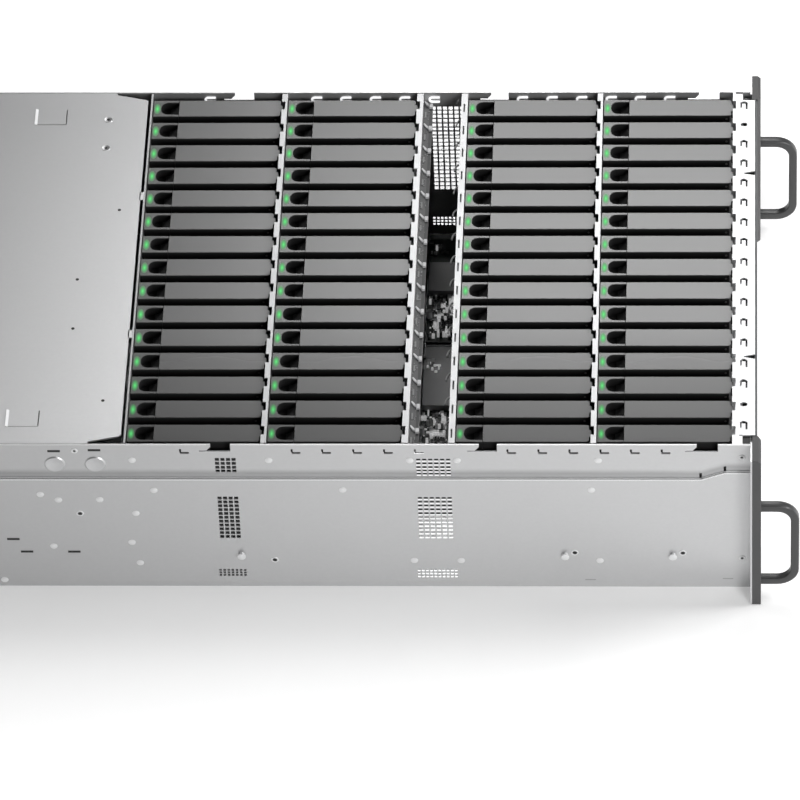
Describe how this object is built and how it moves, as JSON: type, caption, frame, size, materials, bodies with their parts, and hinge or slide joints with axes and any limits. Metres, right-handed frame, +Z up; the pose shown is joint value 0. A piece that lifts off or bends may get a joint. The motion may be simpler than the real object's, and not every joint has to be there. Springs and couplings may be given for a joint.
{
  "type": "disk shelf enclosure",
  "caption": "Four-unit, top-loading rack shelf for upright disk drives in lever-latched carriers, with a mid cable channel, rear fans, power supplies and in/out modules.",
  "frame": {"origin": "centre of the whole part's footprint, at the underside of the base pan", "axes": "+X to the front (handles), +Y to the right-hand side as seen by a person facing the front, +Z up"},
  "size_m": [0.9078, 0.4826, 0.176],
  "materials": {
    "zinc_steel": "zinc-plated steel sheet, satin",
    "ear_black": "dark grey powder coat",
    "handle_black": "black semi-gloss coat",
    "carrier_black": "black moulded plastic",
    "lever_grey": "grey moulded plastic, fine texture",
    "latch_black": "dark grey moulded plastic",
    "drive_case": "cast and machined drive case",
    "board_green": "printed circuit board",
    "connector_black": "black connector plastic",
    "heatsink_dark": "black anodised aluminium",
    "fan_black": "black moulded plastic",
    "module_case": "plated sheet case",
    "latch_green": "coloured touch-point plastic"
  },
  "bodies": {
    "chassis": {"base_pan": "zinc_steel", "upper_wall_left": "zinc_steel", "upper_wall_right": "zinc_steel", "front_rail": "zinc_steel", "front_grille": "zinc_steel", "ear_brackets": "zinc_steel", "divider_1": "zinc_steel", "divider_2": "zinc_steel", "divider_3": "zinc_steel", "divider_4": "zinc_steel", "divider_5": "zinc_steel", "rear_panel": "zinc_steel", "module_shelf": "zinc_steel", "rail_studs": "zinc_steel", "board_standoffs": "zinc_steel", "rack_ear_left": "ear_black", "rack_ear_right": "ear_black", "handle_left": "handle_black", "handle_right": "handle_black", "drive_backplanes": "board_green", "expander_boards": "board_green", "indicator_board": "board_green", "drive_sockets": "connector_black", "expander_connectors": "connector_black", "expander_heatsinks": "heatsink_dark"},
    "cover": {"rear_cover": "zinc_steel"},
    "carrier_corner": {"sled_corner": "carrier_black", "drive_corner": "drive_case"},
    "lever_corner_body": {"lever_corner": "lever_grey"},
    "latch_corner_body": {"latch_corner": "latch_black"},
    "carriers_row_1": {"sleds_row_1": "carrier_black", "drives_row_1": "drive_case"},
    "levers_row_1_body": {"levers_row_1": "lever_grey"},
    "latches_row_1_body": {"latches_row_1": "latch_black"},
    "carriers_row_2": {"sleds_row_2": "carrier_black", "drives_row_2": "drive_case"},
    "levers_row_2_body": {"levers_row_2": "lever_grey"},
    "latches_row_2_body": {"latches_row_2": "latch_black"},
    "carriers_row_3": {"sleds_row_3": "carrier_black", "drives_row_3": "drive_case"},
    "levers_row_3_body": {"levers_row_3": "lever_grey"},
    "latches_row_3_body": {"latches_row_3": "latch_black"},
    "carriers_row_4": {"sleds_row_4": "carrier_black", "drives_row_4": "drive_case"},
    "levers_row_4_body": {"levers_row_4": "lever_grey"},
    "latches_row_4_body": {"latches_row_4": "latch_black"},
    "fan_1": {"fan_module_1": "fan_black"},
    "impeller_1": {"fan_impeller_1": "fan_black"},
    "fan_2": {"fan_module_2": "fan_black"},
    "impeller_2": {"fan_impeller_2": "fan_black"},
    "fan_3": {"fan_module_3": "fan_black"},
    "impeller_3": {"fan_impeller_3": "fan_black"},
    "supply_left": {"power_supply_left": "module_case"},
    "supply_latch_left": {"power_latch_left": "latch_green"},
    "io_left": {"io_module_left": "module_case"},
    "io_handle_left": {"io_lever_left": "latch_green"},
    "supply_right": {"power_supply_right": "module_case"},
    "supply_latch_right": {"power_latch_right": "latch_green"},
    "io_right": {"io_module_right": "module_case"},
    "io_handle_right": {"io_lever_right": "latch_green"}
  },
  "joints": [
    {"name": "cover_slide", "type": "slide", "parent": "chassis", "child": "cover", "axis": [-1, 0, 0], "range_m": [0, 0.014]},
    {"name": "carrier_corner_lift", "type": "slide", "parent": "chassis", "child": "carrier_corner", "axis": [0, 0, 1], "range_m": [0, 0.165]},
    {"name": "lever_corner_turn", "type": "hinge", "parent": "carrier_corner", "child": "lever_corner_body", "pos_m": [0.3909, -0.20356, 0.16795], "axis": [0, 1, 0], "range_deg": [0, 70]},
    {"name": "latch_corner_press", "type": "slide", "parent": "carrier_corner", "child": "latch_corner_body", "axis": [-1, 0, 0], "range_m": [0, 0.002], "stiffness_N_per_m": 60},
    {"name": "carriers_row_1_lift", "type": "slide", "parent": "chassis", "child": "carriers_row_1", "axis": [0, 0, 1], "range_m": [0, 0.165]},
    {"name": "levers_row_1_turn", "type": "hinge", "parent": "carriers_row_1", "child": "levers_row_1_body", "pos_m": [-0.0109, 0, 0.16795], "axis": [0, 1, 0], "range_deg": [0, 70]},
    {"name": "latches_row_1_press", "type": "slide", "parent": "carriers_row_1", "child": "latches_row_1_body", "axis": [-1, 0, 0], "range_m": [0, 0.002], "stiffness_N_per_m": 60},
    {"name": "carriers_row_2_lift", "type": "slide", "parent": "chassis", "child": "carriers_row_2", "axis": [0, 0, 1], "range_m": [0, 0.165]},
    {"name": "levers_row_2_turn", "type": "hinge", "parent": "carriers_row_2", "child": "levers_row_2_body", "pos_m": [0.1095, 0, 0.16795], "axis": [0, 1, 0], "range_deg": [0, 70]},
    {"name": "latches_row_2_press", "type": "slide", "parent": "carriers_row_2", "child": "latches_row_2_body", "axis": [-1, 0, 0], "range_m": [0, 0.002], "stiffness_N_per_m": 60},
    {"name": "carriers_row_3_lift", "type": "slide", "parent": "chassis", "child": "carriers_row_3", "axis": [0, 0, 1], "range_m": [0, 0.165]},
    {"name": "levers_row_3_turn", "type": "hinge", "parent": "carriers_row_3", "child": "levers_row_3_body", "pos_m": [0.2705, 0, 0.16795], "axis": [0, 1, 0], "range_deg": [0, 70]},
    {"name": "latches_row_3_press", "type": "slide", "parent": "carriers_row_3", "child": "latches_row_3_body", "axis": [-1, 0, 0], "range_m": [0, 0.002], "stiffness_N_per_m": 60},
    {"name": "carriers_row_4_lift", "type": "slide", "parent": "chassis", "child": "carriers_row_4", "axis": [0, 0, 1], "range_m": [0, 0.165]},
    {"name": "levers_row_4_turn", "type": "hinge", "parent": "carriers_row_4", "child": "levers_row_4_body", "pos_m": [0.3909, 0, 0.16795], "axis": [0, 1, 0], "range_deg": [0, 70]},
    {"name": "latches_row_4_press", "type": "slide", "parent": "carriers_row_4", "child": "latches_row_4_body", "axis": [-1, 0, 0], "range_m": [0, 0.002], "stiffness_N_per_m": 60},
    {"name": "fan_1_slide", "type": "slide", "parent": "chassis", "child": "fan_1", "axis": [-1, 0, 0], "range_m": [0, 0.055]},
    {"name": "impeller_1_spin", "type": "hinge", "parent": "fan_1", "child": "impeller_1", "pos_m": [-0.41695, -0.14, 0.1052], "axis": [1, 0, 0], "continuous": true},
    {"name": "fan_2_slide", "type": "slide", "parent": "chassis", "child": "fan_2", "axis": [-1, 0, 0], "range_m": [0, 0.055]},
    {"name": "impeller_2_spin", "type": "hinge", "parent": "fan_2", "child": "impeller_2", "pos_m": [-0.41695, 0, 0.1052], "axis": [1, 0, 0], "continuous": true},
    {"name": "fan_3_slide", "type": "slide", "parent": "chassis", "child": "fan_3", "axis": [-1, 0, 0], "range_m": [0, 0.055]},
    {"name": "impeller_3_spin", "type": "hinge", "parent": "fan_3", "child": "impeller_3", "pos_m": [-0.41695, 0.14, 0.1052], "axis": [1, 0, 0], "continuous": true},
    {"name": "supply_left_slide", "type": "slide", "parent": "chassis", "child": "supply_left", "axis": [-1, 0, 0], "range_m": [0, 0.19]},
    {"name": "supply_latch_left_press", "type": "slide", "parent": "supply_left", "child": "supply_latch_left", "axis": [0, -1, 0], "range_m": [0, 0.0025], "stiffness_N_per_m": 200},
    {"name": "io_left_slide", "type": "slide", "parent": "chassis", "child": "io_left", "axis": [-1, 0, 0], "range_m": [0, 0.25]},
    {"name": "io_handle_left_turn", "type": "hinge", "parent": "io_left", "child": "io_handle_left", "pos_m": [-0.43475, -0.0084, 0.0323], "axis": [0, 0, -1], "range_deg": [0, 60]},
    {"name": "supply_right_slide", "type": "slide", "parent": "chassis", "child": "supply_right", "axis": [-1, 0, 0], "range_m": [0, 0.19]},
    {"name": "supply_latch_right_press", "type": "slide", "parent": "supply_right", "child": "supply_latch_right", "axis": [0, -1, 0], "range_m": [0, 0.0025], "stiffness_N_per_m": 200},
    {"name": "io_right_slide", "type": "slide", "parent": "chassis", "child": "io_right", "axis": [-1, 0, 0], "range_m": [0, 0.25]},
    {"name": "io_handle_right_turn", "type": "hinge", "parent": "io_right", "child": "io_handle_right", "pos_m": [-0.43475, 0.1367, 0.0323], "axis": [0, 0, -1], "range_deg": [0, 60]}
  ]
}
